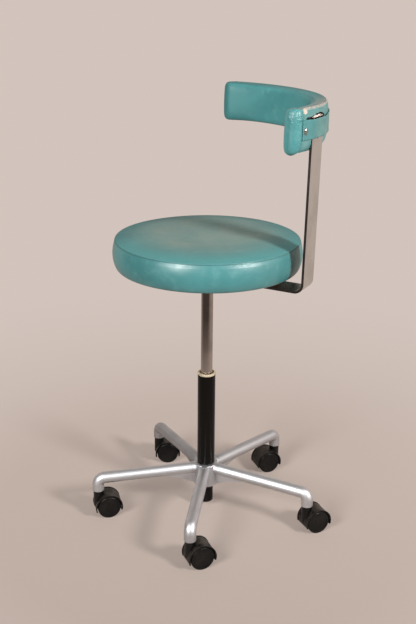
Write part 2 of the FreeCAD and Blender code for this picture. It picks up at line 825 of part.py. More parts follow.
def at_tacks(shape):
    """Copies of a shape on the Z axis, stood on the strip's outer face at each tack's place."""
    radius = pad_outer_radius + soft_gap + strip_thickness + tack_stand
    copies = []
    for angle, z in tack_places():
        copy = shape.copy()
        copy.rotate(ORIGIN, ALONG_Y, 90)
        copy.rotate(ORIGIN, UP, angle)
        copy.translate(rest_point(radius, angle, z))
        copies.append(copy)
    return Part.makeCompound(copies)


def tack_pins():
    return at_tacks(disc(tack_pin_radius, -tack_pin_length, 0))


def strip_tacks():
    """Domed upholstery nails."""
    dome_radius = (tack_head_radius ** 2 + tack_head_height ** 2) / (2 * tack_head_height)
    dome_z = tack_head_height - dome_radius
    halfway = (math.atan2(-dome_z, tack_head_radius) + math.pi / 2) / 2
    crest = vec(0, 0, tack_head_height)
    shoulder = vec(dome_radius * math.cos(halfway), 0, dome_z + dome_radius * math.sin(halfway))
    corners = [vec(tack_head_radius, 0, 0), vec(tack_pin_radius, 0, 0),
               vec(tack_pin_radius, 0, -tack_pin_length), vec(0, 0, -tack_pin_length), crest]
    edges = [Part.LineSegment(*pair) for pair in zip(corners, corners[1:])]
    edges.append(Part.Arc(crest, shoulder, corners[0]))
    return at_tacks(edge_face(edges).revolve(ORIGIN, UP, 360))


os.makedirs("parts", exist_ok=True)

save(hub(), "hub")
one_arm = arm()
for index, arm_angle in enumerate(arm_angles()):
    save(about_column(one_arm, arm_angle), "arm_%d" % (index + 1))
for index in range(arm_count):
    number = index + 1
    save(at_caster(caster_stem(), index), "caster_stem_%d" % number)
    save(at_caster(caster_hood(), index), "caster_hood_%d" % number)
    save(at_caster(caster_axle(), index), "caster_axle_%d" % number)
    save(at_caster(caster_wheel(1), index), "wheel_left_%d" % number)
    save(at_caster(caster_wheel(-1), index), "wheel_right_%d" % number)

save(column_tube(), "column_tube")
save(guide_bush(), "guide_bush")
save(thrust_washer(bearing_z), "thrust_washer_lower")
save(ball_cage(), "ball_cage")
save(thrust_washer(upper_washer_z), "thrust_washer_upper")
save(retaining_clip(), "retaining_clip")
save(piston_rod(), "piston_rod")
save(ring(cylinder_bore - running_gap, rod_radius, piston_z, piston_z + piston_length), "piston")
save(ring(stop_radius, rod_radius, stop_z, stop_z + stop_height), "bump_stop")
save(gas_cylinder(), "gas_cylinder")
save(ring(cylinder_bore, rod_radius + running_gap, cylinder_z, cylinder_z + gland_length), "rod_gland")
save(release_pin(), "release_pin")

save(to_bar(seat_plate()), "seat_plate")
save(to_bar(plate_screws()), "plate_screws")
save(to_lever(lever_pivot()), "lever_pivot")
save(to_lever(release_lever()), "release_lever")
save(to_lever(lever_grip()), "lever_grip")
save(seat_board(), "seat_board")
save(seat_hem(), "seat_hem")
save(seat_cushion(), "seat_cushion")

save(to_bar(back_bar()), "back_bar")
save(to_bar(bar_bolts()), "bar_bolts")
save(to_bar(bar_nuts()), "bar_nuts")
save(to_bar(lean_out(core_screws())), "rest_screws")
save(to_bar(lean_out(rest_core())), "rest_core")
save(to_bar(lean_out(rest_pad())), "rest_pad")
save(to_bar(lean_out(cover_strip())), "cover_strip")
save(to_bar(lean_out(strip_tacks())), "strip_tacks")
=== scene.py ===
import math

import bpy
import numpy as np
from mathutils import Matrix, Vector


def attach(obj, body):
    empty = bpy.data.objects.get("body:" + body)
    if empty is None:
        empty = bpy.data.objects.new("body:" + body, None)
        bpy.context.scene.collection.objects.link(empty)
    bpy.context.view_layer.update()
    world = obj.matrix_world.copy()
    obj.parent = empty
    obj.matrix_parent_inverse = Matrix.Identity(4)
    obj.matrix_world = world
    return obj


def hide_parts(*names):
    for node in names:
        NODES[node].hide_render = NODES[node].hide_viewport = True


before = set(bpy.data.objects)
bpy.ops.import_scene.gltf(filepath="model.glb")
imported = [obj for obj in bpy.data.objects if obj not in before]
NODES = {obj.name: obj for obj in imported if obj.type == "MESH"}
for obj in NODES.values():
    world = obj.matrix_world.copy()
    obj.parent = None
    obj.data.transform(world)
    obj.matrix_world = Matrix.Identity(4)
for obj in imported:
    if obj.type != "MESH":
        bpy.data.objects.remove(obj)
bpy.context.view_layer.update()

# Sizes shared with the CAD part, in metres
SEAM_R, SEAM_Z = 0.190, 0.621
BOARD_R, BOARD_TOP, BOARD_Z = 0.178, 0.578, 0.566
BAR_ANGLE, LEAN = math.radians(45.0), math.radians(1.0)
BEND_X, BEND_Z, BEND_R = 0.203, 0.563, 0.015
BAR_HALF, BAR_T = 0.025, 0.005
PAD_Z, PAD_H, PAD_T, PAD_R = 0.8202, 0.0816, 0.0355, 0.251
PAD_AXIS = BEND_X + BEND_R + BAR_T - PAD_R
PAD_START, PAD_END = math.radians(-13.5), math.radians(100.2)
STRIP_LOW, STRIP_HIGH, STRIP_T = 0.0247, 0.0615, 0.0018
NAIL_ALONG = (PAD_START + math.radians(1.85)) * PAD_R
NAIL_RISE = (STRIP_LOW + STRIP_HIGH) / 2
ARM_COUNT, FIRST_ARM = 5, 47.8          # the first arm's direction, in degrees

CAMERA_TURN = math.radians(73.1)
CAMERA_SIDE = CAMERA_TURN - math.pi / 2     # direction of the camera from the stool


def srgb(r, g, b):
    """Linear colour from 0 to 255 screen values."""
    def one(v):
        v /= 255.0
        return v / 12.92 if v <= 0.04045 else ((v + 0.055) / 1.055) ** 2.4
    return (one(r), one(g), one(b), 1.0)


# Geometry helpers

def mesh_object(name, verts, faces, smooth=True):
    mesh = bpy.data.meshes.new(name)
    mesh.from_pydata([tuple(v) for v in verts], [], faces)
    mesh.validate()
    mesh.update()
    mesh.polygons.foreach_set("use_smooth", [smooth] * len(mesh.polygons))
    obj = bpy.data.objects.new(name, mesh)
    bpy.context.scene.collection.objects.link(obj)
    return obj


def lathe(name, profile, segments):
    """A closed turned form; the profile starts and ends on the axis."""
    verts, faces = [(0, 0, profile[0][1])], []
    rings = profile[1:-1]
    for r, z in rings:
        for k in range(segments):
            a = 2 * math.pi * k / segments
            verts.append((r * math.cos(a), r * math.sin(a), z))
    verts.append((0, 0, profile[-1][1]))
    last = len(verts) - 1
    for k in range(segments):
        n = (k + 1) % segments
        faces.append((0, 1 + n, 1 + k))
        for j in range(len(rings) - 1):
            a, b = 1 + j * segments, 1 + (j + 1) * segments
            faces.append((a + k, a + n, b + n, b + k))
        top = 1 + (len(rings) - 1) * segments
        faces.append((top + k, top + n, last))
    return mesh_object(name, verts, faces)


def tube(name, points, radius, sides=8):
    """A round bead along an open line of points."""
    pts = [Vector(p) for p in points]
    verts, faces, last = [], [], len(pts) - 1
    aside = Vector((0.123, 0.357, 0.926))       # no bead runs this way
    for i, p in enumerate(pts):
        along = (pts[min(i + 1, last)] - pts[max(i - 1, 0)]).normalized()
        side = along.cross(aside).normalized()
        up = side.cross(along)
        for k in range(sides):
            a = 2 * math.pi * k / sides
            verts.append(p + (side * math.cos(a) + up * math.sin(a)) * radius)
    for i in range(last):
        a, b = i * sides, (i + 1) * sides
        for k in range(sides):
            n = (k + 1) % sides
            faces.append((a + k, a + n, b + n, b + k))
    faces.append(tuple(range(sides))[::-1])
    faces.append(tuple(last * sides + k for k in range(sides)))
    return mesh_object(name, verts, faces)


def subdivide(obj, levels=1):
    mod = obj.modifiers.new("smooth", "SUBSURF")
    mod.levels = mod.render_levels = levels


def puff(obj, pinned, pressure, cap, frames=20):
    """Inflates a padded form as cloth for some frames, with each point's movement capped."""
    group = obj.vertex_groups.new(name="pin")
    for index, weight in enumerate(pinned):
        if weight > 0:
            group.add([index], float(weight), "REPLACE")
    mod = obj.modifiers.new("cloth", "CLOTH")
    s = mod.settings
    s.quality = 6
    s.mass = 0.3
    s.tension_stiffness = s.compression_stiffness = 25
    s.shear_stiffness = 10
    s.bending_stiffness = 0.6
    s.use_pressure = True
    s.uniform_pressure_force = pressure
    s.vertex_group_mass = "pin"
    s.effector_weights.gravity = 0
    mod.collision_settings.use_collision = False
    mod.collision_settings.use_self_collision = False
    mod.point_cache.frame_start, mod.point_cache.frame_end = 1, frames
    scene = bpy.context.scene
    for f in range(1, frames + 1):
        scene.frame_set(f)
    evaluated = obj.evaluated_get(bpy.context.evaluated_depsgraph_get())
    count = len(obj.data.vertices)
    new, old = np.zeros(count * 3, np.float32), np.zeros(count * 3, np.float32)
    evaluated.data.vertices.foreach_get("co", new)
    obj.data.vertices.foreach_get("co", old)
    move = (new - old).reshape(-1, 3)
    size = np.linalg.norm(move, axis=1, keepdims=True)
    move *= np.minimum(1.0, cap / np.maximum(size, 1e-9))
    obj.modifiers.remove(mod)
    obj.vertex_groups.remove(group)
    obj.data.vertices.foreach_set("co", (old.reshape(-1, 3) + move).ravel())
    obj.data.update()
    scene.frame_set(1)


def rest_place(radius, angle, rise):
    """A point of the curved rest, given about the pad's own axis, in the shared frame."""
    x, y, z = PAD_AXIS + radius * math.cos(angle), radius * math.sin(angle), PAD_Z + rise
    dx, dz = x - BEND_X, z - BEND_Z
    x = BEND_X + dx * math.cos(LEAN) + dz * math.sin(LEAN)
    z = BEND_Z - dx * math.sin(LEAN) + dz * math.cos(LEAN)
    return Vector((x * math.cos(BAR_ANGLE) - y * math.sin(BAR_ANGLE),
                   x * math.sin(BAR_ANGLE) + y * math.cos(BAR_ANGLE), z))


# Material helpers

class Paint:
    """A node material built up from small named steps."""

    def __init__(self, name, world_tree=None):
        if world_tree:
            self.tree, ends = world_tree, ("ShaderNodeOutputWorld", "ShaderNodeBackground")
        else:
            self.mat = bpy.data.materials.new(name)
            self.mat.use_nodes = True
            self.tree, ends = self.mat.node_tree, ("ShaderNodeOutputMaterial", "ShaderNodeBsdfPrincipled")
        self.tree.nodes.clear()
        self.out, self.bsdf = self.add(ends[0]), self.add(ends[1])
        self.tree.links.new(self.bsdf.outputs[0], self.out.inputs[0])
        self.coords = self.add("ShaderNodeTexCoord").outputs["Object"]

    def add(self, kind, inputs=None, **props):
        node = self.tree.nodes.new(kind)
        for key, value in props.items():
            setattr(node, key, value)
        for key, value in (inputs or {}).items():
            self.put(node.inputs[key], value)
        return node

    def put(self, socket, value):
        if isinstance(value, bpy.types.NodeSocket):
            self.tree.links.new(value, socket)
        else:
            socket.default_value = value

    def set(self, **inputs):
        for key, value in inputs.items():
            self.put(self.bsdf.inputs[key.replace("_", " ")], value)

    def math(self, op, a, b=0.0):
        return self.add("ShaderNodeMath", {0: a, 1: b}, operation=op).outputs[0]

    def times(self, value, *others):
        for other in others:
            value = self.math("MULTIPLY", value, other)
        return value

    def plus(self, a, b):
        return self.math("ADD", a, b)

    def less(self, a, b):
        return self.math("SUBTRACT", a, b)

    def mapped(self, scale, turn=(0, 0, 0)):
        inputs = {"Vector": self.coords, "Scale": scale, "Rotation": turn}
        return self.add("ShaderNodeMapping", inputs).outputs[0]

    def turned(self, vector, axis, angle, centre=(0, 0, 0)):
        inputs = {"Vector": vector, "Center": centre, "Angle": angle}
        return self.add("ShaderNodeVectorRotate", inputs, rotation_type=axis).outputs[0]

    def noise(self, scale, detail=3.0, rough=0.55, source=None, warp=0.0):
        inputs = {"Vector": source or self.coords, "Scale": scale, "Detail": detail, "Roughness": rough,
                  "Distortion": warp}
        return self.add("ShaderNodeTexNoise", inputs).outputs["Fac"]

    def cells(self, scale, feature="F1"):
        inputs = {"Vector": self.coords, "Scale": scale}
        return self.add("ShaderNodeTexVoronoi", inputs, feature=feature).outputs["Distance"]

    def span(self, value, low, high, to_low=0.0, to_high=1.0, smooth=True):
        inputs = {"Value": value, "From Min": low, "From Max": high, "To Min": to_low, "To Max": to_high}
        kind = "SMOOTHSTEP" if smooth else "LINEAR"
        return self.add("ShaderNodeMapRange", inputs, interpolation_type=kind).outputs[0]

    def mix(self, share, a, b, blend="MIX"):
        node = self.add("ShaderNodeMix", data_type="RGBA", blend_type=blend, clamp_factor=True)
        self.put(node.inputs[0], share)
        self.put(node.inputs[6], a)
        self.put(node.inputs[7], b)
        return node.outputs[2]

    def xyz(self, source=None):
        return self.add("ShaderNodeSeparateXYZ", {0: source or self.coords}).outputs

    def normal(self):
        return self.add("ShaderNodeNewGeometry").outputs["Normal"]

    def facing_up(self, low, high):
        return self.span(self.xyz(self.normal())[2], low, high)

    def toward(self, x, y, azimuth):
        """How far a place or direction lies toward one side."""
        return self.plus(self.times(x, math.cos(azimuth)), self.times(y, math.sin(azimuth)))

    def hypot(self, a, b):
        return self.math("SQRT", self.plus(self.times(a, a), self.times(b, b)))

    def on_rest(self):
        """Distance along the rest's back, rise above its lower edge and depth from its middle line."""
        level = self.turned(self.coords, "Z_AXIS", -BAR_ANGLE)
        x, y, z = self.xyz(self.turned(level, "Y_AXIS", -LEAN, (BEND_X, 0, BEND_Z)))
        x = self.less(x, PAD_AXIS)
        along = self.times(self.math("ARCTAN2", y, x), PAD_R)
        return along, self.less(z, PAD_Z), self.less(self.hypot(x, y), PAD_R - PAD_T / 2)

    def bump(self, height, strength, distance, under=None):
        inputs = {"Height": height, "Strength": strength, "Distance": distance}
        if under is not None:
            inputs["Normal"] = under
        return self.add("ShaderNodeBump", inputs).outputs[0]


SEWN_R = SEAM_R - 0.0014        # the seam is drawn in a little
CHIP_ALONG, CHIP_RISE, CHIP_HALF_WIDTH, CHIP_HALF_HEIGHT = -0.0505, 0.0757, 0.0056, 0.0046
TEAL = (0.056, 0.212, 0.220, 1.0)
TEAL_DEEP = (0.044, 0.172, 0.180, 1.0)
TEAL_PALE = (0.095, 0.270, 0.272, 1.0)


def teal_base(p, grain=0.10, swell=0.10):
    """Coated cloth with soft mottling, a pebble grain and uneven gloss: colour, roughness and normal."""
    small = p.noise(60.0)
    colour = p.mix(p.span(p.noise(9.0, 4.0), 0.35, 0.70), TEAL, TEAL_DEEP)
    colour = p.mix(p.times(p.span(small, 0.50, 0.75), 0.35), colour, TEAL_PALE)
    normal = p.bump(p.plus(p.cells(1100.0), p.times(p.noise(700.0, 2.0), 0.6)), grain, 0.00035)
    normal = p.bump(p.noise(28.0), swell, 0.004, normal)
    rough = p.plus(0.30, p.times(p.span(small, 0.3, 0.7), 0.12))
    return colour, rough, normal


def seat_material():
    """Glossy band; a dull top made greyer by wear and painted sheen, painted light on its edge, painted shade
    low on the band, and a dark groove at the seam.
    """
    p = Paint("teal_seat")
    colour, rough, normal = teal_base(p, 0.06, 0.03)
    x, y, z = p.xyz()
    radius = p.hypot(x, y)
    from_seam = p.hypot(p.less(radius, SEWN_R), p.less(z, SEAM_Z))
    groove = p.span(from_seam, 0.0022, 0.0004)
    top = p.span(z, SEAM_Z - 0.002, SEAM_Z + 0.002)

    # Greyer top: partly wear where it is sat on, partly painted sheen of a pale wall
    wear_and_painted_sheen = p.times(p.span(radius, SEAM_R, 0.09), p.span(z, SEAM_Z - 0.006, SEAM_Z + 0.001),
                     p.span(p.noise(14.0, 4.0), 0.25, 0.7, 0.40, 0.66))
    colour = p.mix(wear_and_painted_sheen, colour, (0.245, 0.300, 0.262, 1.0))
    # Painted light: the top's outer edge on the camera's side made lighter and more saturated, as if catching
    # the light
    painted_lit_rim = p.times(top, p.span(radius, 0.140, 0.178), p.span(p.toward(x, y, CAMERA_SIDE), -0.02, 0.14))
    colour = p.mix(p.times(painted_lit_rim, 0.50), colour, (0.075, 0.275, 0.275, 1.0))
    # Darker towards the bottom of the band: partly grime, partly painted shade
    grime_and_painted_shade = p.times(p.span(z, 0.580, 0.564), p.span(p.noise(35.0, 4.0), 0.35, 0.75))
    colour = p.mix(p.times(grime_and_painted_shade, 0.5), colour, (0.030, 0.110, 0.110, 1.0))
    colour = p.mix(p.times(groove, 0.55), colour, (0.018, 0.080, 0.082, 1.0))

    pucker = p.times(p.noise(150.0, 2.0, source=p.mapped((1, 1, 0.25))), p.span(from_seam, 0.020, 0.002))
    normal = p.bump(pucker, 0.12, 0.0012, normal)
    dents = p.times(p.noise(11.0, 2.0), p.span(z, SEAM_Z - 0.002, SEAM_Z - 0.009))
    normal = p.bump(dents, 0.20, 0.010, normal)
    normal = p.bump(groove, 0.9, -0.0012, normal)
    p.set(Base_Color=colour, Roughness=p.plus(rough, p.span(top, 0.0, 1.0, 0.05, 0.32)), Normal=normal,
          Specular_IOR_Level=0.57, Coat_Weight=p.less(0.28, p.times(top, 0.24)), Coat_Roughness=0.26)
    return p.mat


def pad_material():
    """The rest's cover: painted light and shade on its faces, a faded back, a rubbed ridge, a chip, a torn
    slot with painted shade in it and a puckered near end.
    """
    p = Paint("teal_pad")
    colour, rough, normal = teal_base(p)
    along, rise, depth = p.on_rest()
    near = p.span(along, 0.19, 0.06)

    # Painted light and shade: the inner face lightened, and darkened towards its far end, and faces turned up
    # lightened
    inner = p.times(p.span(depth, 0.004, -0.004), p.span(along, 0.33, 0.43, 0.22, -0.10))
    tone = p.plus(p.plus(1.0, inner), p.times(p.facing_up(0.30, 0.75), 0.20))
    colour = p.mix(1.0, colour, tone, "MULTIPLY")
    fade = p.times(p.span(depth, 0.0125, 0.0150), p.span(along, -0.060, -0.054),
                   p.span(p.noise(55.0, 5.0), 0.30, 0.70, 0.10, 0.60))
    colour = p.mix(fade, colour, (0.165, 0.315, 0.300, 1.0))

    ridge = p.times(p.span(rise, 0.0768, 0.0790), p.span(depth, 0.0030, 0.0095),
                    p.span(p.noise(120.0, 5.0, 0.65), 0.34, 0.60), near, p.span(along, -0.064, -0.052))
    flat = p.times(p.span(rise, 0.0785, 0.0805), near, p.span(along, -0.01, 0.05))
    rubbed = p.math("MAXIMUM", p.times(ridge, 0.70), p.times(flat, 0.34))
    colour = p.mix(rubbed, colour, (0.52, 0.41, 0.36, 1.0))

    across = p.times(p.less(along, CHIP_ALONG), 1 / CHIP_HALF_WIDTH)
    up = p.times(p.less(rise, CHIP_RISE), 1 / CHIP_HALF_HEIGHT)
    ragged = p.times(p.less(p.noise(260.0), 0.5), 1.8)
    chip = p.plus(p.plus(p.times(across, across), p.times(up, up)), ragged)
    chip = p.times(p.span(chip, 1.15, 0.85), p.span(depth, 0.004, 0.009))
    colour = p.mix(chip, colour, (0.56, 0.475, 0.41, 1.0))
    normal = p.bump(chip, 0.5, -0.0008, normal)

    # Painted shade: the slot's walls made nearly black
    slot = p.times(p.span(depth, 0.0166, 0.0160), p.span(depth, 0.0095, 0.0105),
                   p.span(rise, 0.0570, 0.0590), p.span(rise, 0.0715, 0.0705),
                   p.span(along, -0.0500, -0.0485), p.span(along, 0.037, 0.036))
    colour = p.mix(slot, colour, (0.006, 0.009, 0.009, 1.0))
    tip = p.times(p.noise(150.0, 2.0), p.times(p.span(along, -0.050, -0.062), p.span(rise, 0.040, 0.066)))
    normal = p.bump(tip, 0.9, 0.0035, normal)
    rough = p.plus(rough, p.times(p.math("MAXIMUM", rubbed, p.times(fade, 0.4)), 0.25))
    rough = p.plus(rough, p.span(along, 0.0, 0.15, 0.04, 0.16))
    p.set(Base_Color=colour, Roughness=rough, Normal=normal, Coat_Roughness=0.24,
          Specular_IOR_Level=p.span(along, 0.0, 0.15, 0.45, 0.30),
          Coat_Weight=p.span(along, 0.0, 0.06, 0.25, 0.0))
    return p.mat


def welt_material():
    p = Paint("teal_welt")
    colour, rough, normal = teal_base(p)
    along, rise, _ = p.on_rest()
    worn = p.times(p.span(p.noise(110.0, 4.0), 0.30, 0.55), p.span(rise, 0.070, 0.080),
                   p.span(along, 0.19, 0.06), p.span(along, -0.064, -0.052))
    colour = p.mix(p.times(worn, 0.85), colour, (0.52, 0.42, 0.37, 1.0))
    # Painted shade in the creases by the near end cap
    painted_crease_shade = p.times(p.span(p.noise(240.0), 0.45, 0.62), p.span(along, -0.045, -0.055))
    colour = p.mix(p.times(painted_crease_shade, 0.8), colour, (0.012, 0.055, 0.056, 1.0))
    p.set(Base_Color=colour, Roughness=p.plus(rough, p.times(worn, 0.25)), Normal=normal,
          Specular_IOR_Level=0.4)
    return p.mat


def strip_material(name):
    """Faded and cracked, with painted sheen beyond the bar and rust round the near nail."""
    p = Paint(name)
    colour, rough, normal = teal_base(p)
    along, rise, _ = p.on_rest()
    # Paler and greyer from the bar onwards: partly fading, partly painted sheen
    faded = p.times(p.span(p.noise(45.0, 5.0), 0.30, 0.70, 0.25, 0.80),
                    p.span(along, -0.030, 0.004, 0.12, 1.0))
    colour = p.mix(faded, colour, (0.128, 0.262, 0.250, 1.0))
    nail = p.hypot(p.less(along, NAIL_ALONG), p.less(rise, NAIL_RISE - 0.0022))
    rust = p.times(p.span(nail, 0.0085, 0.0050), p.span(p.noise(210.0), 0.32, 0.55))
    colour = p.mix(p.times(rust, 0.85), colour, (0.090, 0.034, 0.020, 1.0))
    cracks = p.times(p.span(p.cells(230.0, "DISTANCE_TO_EDGE"), 0.035, 0.010),
                     p.span(p.noise(38.0), 0.52, 0.68))
    colour = p.mix(p.times(cracks, 0.45), colour, (0.020, 0.060, 0.058, 1.0))
    normal = p.bump(cracks, 0.3, -0.0004, normal)
    p.set(Base_Color=colour, Roughness=p.plus(rough, 0.05), Normal=normal, Specular_IOR_Level=0.5,
          Coat_Weight=0.15, Coat_Roughness=0.3)
    return p.mat


def filling_material():
    p = Paint("torn_wadding")
    spots = p.noise(170.0, 4.0)
    colour = p.mix(p.span(spots, 0.52, 0.60), (0.66, 0.57, 0.52, 1), (0.100, 0.030, 0.018, 1))
    p.set(Base_Color=colour, Roughness=0.9, Normal=p.bump(p.noise(600.0, 4.0), 0.5, 0.001))
    return p.mat


def aluminium(name, turn, tone):
    """Satin casting, darker on the faces turned down as painted shade, with draw lines along the arm."""
    p = Paint(name)
    lines = p.noise(260.0, source=p.mapped((0.06, 1.0, 1.0), (0, 0, -turn)))
    cloud = p.noise(30.0, 4.0)
    pits = p.span(p.cells(420.0), 0.10, 0.02)
    # Painted shade: faces turned down are darkened
    below = p.less(1.0, p.facing_up(-0.35, 0.45))
    colour = p.mix(p.span(cloud, 0.35, 0.75), (0.73, 0.75, 0.79, 1), (0.62, 0.635, 0.665, 1))
    colour = p.mix(p.times(below, 0.40), colour, (0.40, 0.39, 0.385, 1))
    # The tone darkens the casting by a set amount: painted shade
    colour = p.mix(1.0, colour, (tone, tone, tone, 1), "MULTIPLY")
    rough = p.plus(0.475, p.times(p.span(cloud, 0.3, 0.7), 0.07))
    normal = p.bump(pits, 0.08, -0.0002, p.bump(lines, 0.10, 0.0005))
    p.set(Base_Color=colour, Metallic=1.0, Roughness=rough, Normal=normal)
    return p.mat


def steel(name, colour, dull, rough, stretch, scale, edges=1.0):
    """Steel with streaks along the stretched axis; on the bar, painted dark reflection on the thin edge faces
    and painted shade on the faces turned up.
    """
    p = Paint(name)
    streak = p.noise(scale, source=p.mapped(stretch, (0, 0, -BAR_ANGLE)))
    shade = p.mix(p.span(p.noise(22.0, 4.0), 0.35, 0.75), colour, dull)
    if edges < 1.0:
        # Painted reflection: the bar's thin edge faces darkened, as if reflecting a dark room
        across = p.xyz(p.turned(p.normal(), "Z_AXIS", -BAR_ANGLE))[1]
        painted_dark_edges = p.span(p.math("ABSOLUTE", across), 0.70, 0.90)
        shade = p.mix(painted_dark_edges, shade, tuple(edges * c for c in dull[:3]) + (1,))
        # Painted shade: faces turned up darkened, as if shaded by the seat
        shade = p.mix(p.facing_up(0.15, 0.60), shade, (0.17, 0.135, 0.115, 1))
    p.set(Base_Color=shade, Metallic=1.0, Normal=p.bump(streak, 0.08, 0.0004),
          Roughness=p.plus(rough, p.times(p.span(streak, 0.35, 0.7), 0.08)))
    return p.mat


def black_paint():
    p = Paint("black_paint")
    scuff = p.noise(90.0, 4.0, source=p.mapped((1, 1, 0.12)))
    dust = p.times(p.facing_up(0.2, 0.9), p.span(p.noise(60.0, 4.0), 0.4, 0.7))
    colour = p.mix(p.span(scuff, 0.55, 0.8), (0.003, 0.0025, 0.0022, 1), (0.009, 0.0075, 0.0065, 1))
    colour = p.mix(p.times(dust, 0.25), colour, (0.09, 0.07, 0.06, 1))
    p.set(Base_Color=colour, Roughness=p.span(scuff, 0.3, 0.8, 0.14, 0.24), Specular_IOR_Level=0.16,
          Normal=p.bump(p.noise(400.0), 0.03, 0.0005))
    return p.mat


def black_plastic(name, rough, dusty):
    p = Paint(name)
    grain = p.noise(900.0, 2.0)
    film = p.noise(45.0, 5.0)
    dust = p.times(p.facing_up(0.05, 0.9), p.span(film, 0.3, 0.65), dusty)
    specks = p.times(p.span(p.cells(330.0), 0.14, 0.05), 0.35 * dusty)
    colour = p.mix(p.span(film, 0.4, 0.8), (0.004, 0.004, 0.004, 1), (0.010, 0.0095, 0.009, 1))
    colour = p.mix(p.math("MAXIMUM", dust, specks), colour, (0.150, 0.118, 0.095, 1))
    p.set(Base_Color=colour, Roughness=p.plus(rough, p.times(dust, 0.4)), Specular_IOR_Level=0.22,
          Normal=p.bump(grain, 0.06, 0.0004))
    return p.mat


def nylon():
    p = Paint("cream_nylon")
    grime = p.noise(70.0, 4.0, source=p.mapped((1, 1, 0.4)))
    colour = p.mix(p.span(grime, 0.45, 0.75), (0.47, 0.395, 0.29, 1), (0.26, 0.19, 0.12, 1))
    p.set(Base_Color=colour, Roughness=p.span(grime, 0.3, 0.8, 0.35, 0.55), Subsurface_Weight=0.1,
          Subsurface_Radius=(0.004, 0.003, 0.002), Normal=p.bump(p.noise(300.0), 0.05, 0.0004))
    return p.mat


def plywood():
    """Old dark board with grain, pores and the plies' edges."""
    p = Paint("plywood")
    grain = p.noise(70.0, 5.0, source=p.mapped((1.0, 0.06, 1.0)), warp=0.6)
    pores = p.noise(900.0, 2.0, source=p.mapped((1.0, 0.03, 1.0)))
    plies = p.span(p.math("FRACT", p.times(p.xyz()[2], 420.0)), 0.45, 0.55)
    colour = p.mix(p.span(grain, 0.3, 0.7), (0.24, 0.16, 0.095, 1), (0.16, 0.10, 0.060, 1))
    colour = p.mix(p.times(plies, 0.15), colour, (0.11, 0.065, 0.035, 1))
    p.set(Base_Color=colour, Roughness=0.7, Normal=p.bump(p.plus(grain, pores), 0.15, 0.0008))
    return p.mat


def rubber():
    p = Paint("rubber")
    dull = p.span(p.noise(60.0, 4.0), 0.4, 0.7)
    p.set(Base_Color=p.mix(dull, (0.012, 0.012, 0.012, 1), (0.03, 0.028, 0.026, 1)), Roughness=0.7,
          Normal=p.bump(p.noise(500.0), 0.12, 0.0005))
    return p.mat


# Padded seat: a crowned top panel sewn to a full band that is drawn in at the seam

SEAT_SEGMENTS = 192


def seat_profile():
    """Radius and height round half a section of the seat: the board, the band, the seam and the top."""
    rows = [(0, 0.5783), (0.060, 0.5783), (0.120, 0.5783), (0.170, 0.5783), (0.1783, 0.5780)]
    rows += [(0.1783, 0.5700), (0.1785, 0.5637), (0.1805, 0.5632), (0.1840, 0.5636)]
    rows += [(0.1868, 0.5656), (0.1889, 0.5692)]
    rows += [(0.1909, 0.5745), (0.1924, 0.5805), (0.1933, 0.5865), (0.1936, 0.5920), (0.1934, 0.5975)]
    rows += [(0.1929, 0.6025), (0.1921, 0.6070), (0.1912, 0.6108), (0.1903, 0.6142), (0.1895, 0.6174)]
    rows += [(0.1887, 0.6206), (0.1880, 0.6217)]
    rows += [(0.1862, 0.6230), (0.1836, 0.6243), (0.1800, 0.6255), (0.1755, 0.6265), (0.1690, 0.6274)]
    rows += [(0.1610, 0.6281), (0.1500, 0.6286), (0.1350, 0.6292), (0.1180, 0.6297), (0.1000, 0.6301)]
    rows += [(0.0820, 0.6304), (0.0640, 0.63065), (0.0460, 0.6308), (0.0280, 0.6309), (0.0120, 0.6310)]
    return rows + [(0, 0.6310)]


def even_rings(obj, segments, reach, keep):
    """Evens out small wrinkles round a turned form, keeping a share of them."""
    count = len(obj.data.vertices)
    flat = np.zeros(count * 3, np.float32)
    obj.data.vertices.foreach_get("co", flat)
    places = flat.reshape(-1, 3)
    rings = places[1:-1].reshape(-1, segments, 3)
    radius, height = np.hypot(rings[..., 0], rings[..., 1]), rings[..., 2]
    angle = np.arctan2(rings[..., 1], rings[..., 0])
    for values in (radius, height):
        mean = sum(np.roll(values, k, axis=1) for k in range(-reach, reach + 1)) / (2 * reach + 1)
        values[:] = mean + keep * (values - mean)
    rings[..., 0], rings[..., 1] = radius * np.cos(angle), radius * np.sin(angle)
    obj.data.vertices.foreach_set("co", places.ravel())
    obj.data.update()


def make_seat():
    seat = lathe("seat_padding", seat_profile(), SEAT_SEGMENTS)
    pins = []
    for v in seat.data.vertices:
        r, a, z = math.hypot(v.co.x, v.co.y), math.atan2(v.co.y, v.co.x), v.co.z
        at_seam = math.hypot(r - SEWN_R, z - SEAM_Z) < 0.0016
        at_board = z < BOARD_Z + 0.0045 or (z < BOARD_TOP + 0.001 and r < BOARD_R + 0.001)
        pins.append(1.0 if at_seam or at_board else 0.0)
        if z > 0.575 and r > 0.02:
            swell = math.sin(3 * a + 1.0) + 0.6 * math.sin(7 * a)
            v.co.z += 0.00025 * swell * min(1.0, r / 0.15)
    puff(seat, pins, 1.8, 0.0022)
    even_rings(seat, SEAT_SEGMENTS, 8, 0.15)
    subdivide(seat)
    seat.data.materials.append(seat_material())
    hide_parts("seat_cushion")
    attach(seat, "seat")


HEM_WIDTH, HEM_PLEATS, STAPLE_COUNT = 0.026, 72, 40
HEM_LOW, HEM_HIGH = BOARD_Z - 0.0014, BOARD_Z - 0.0002
BOX_FACES = ((0, 3, 2, 1), (4, 5, 6, 7), (0, 1, 5, 4), (1, 2, 6, 5), (2, 3, 7, 6), (3, 0, 4, 7))


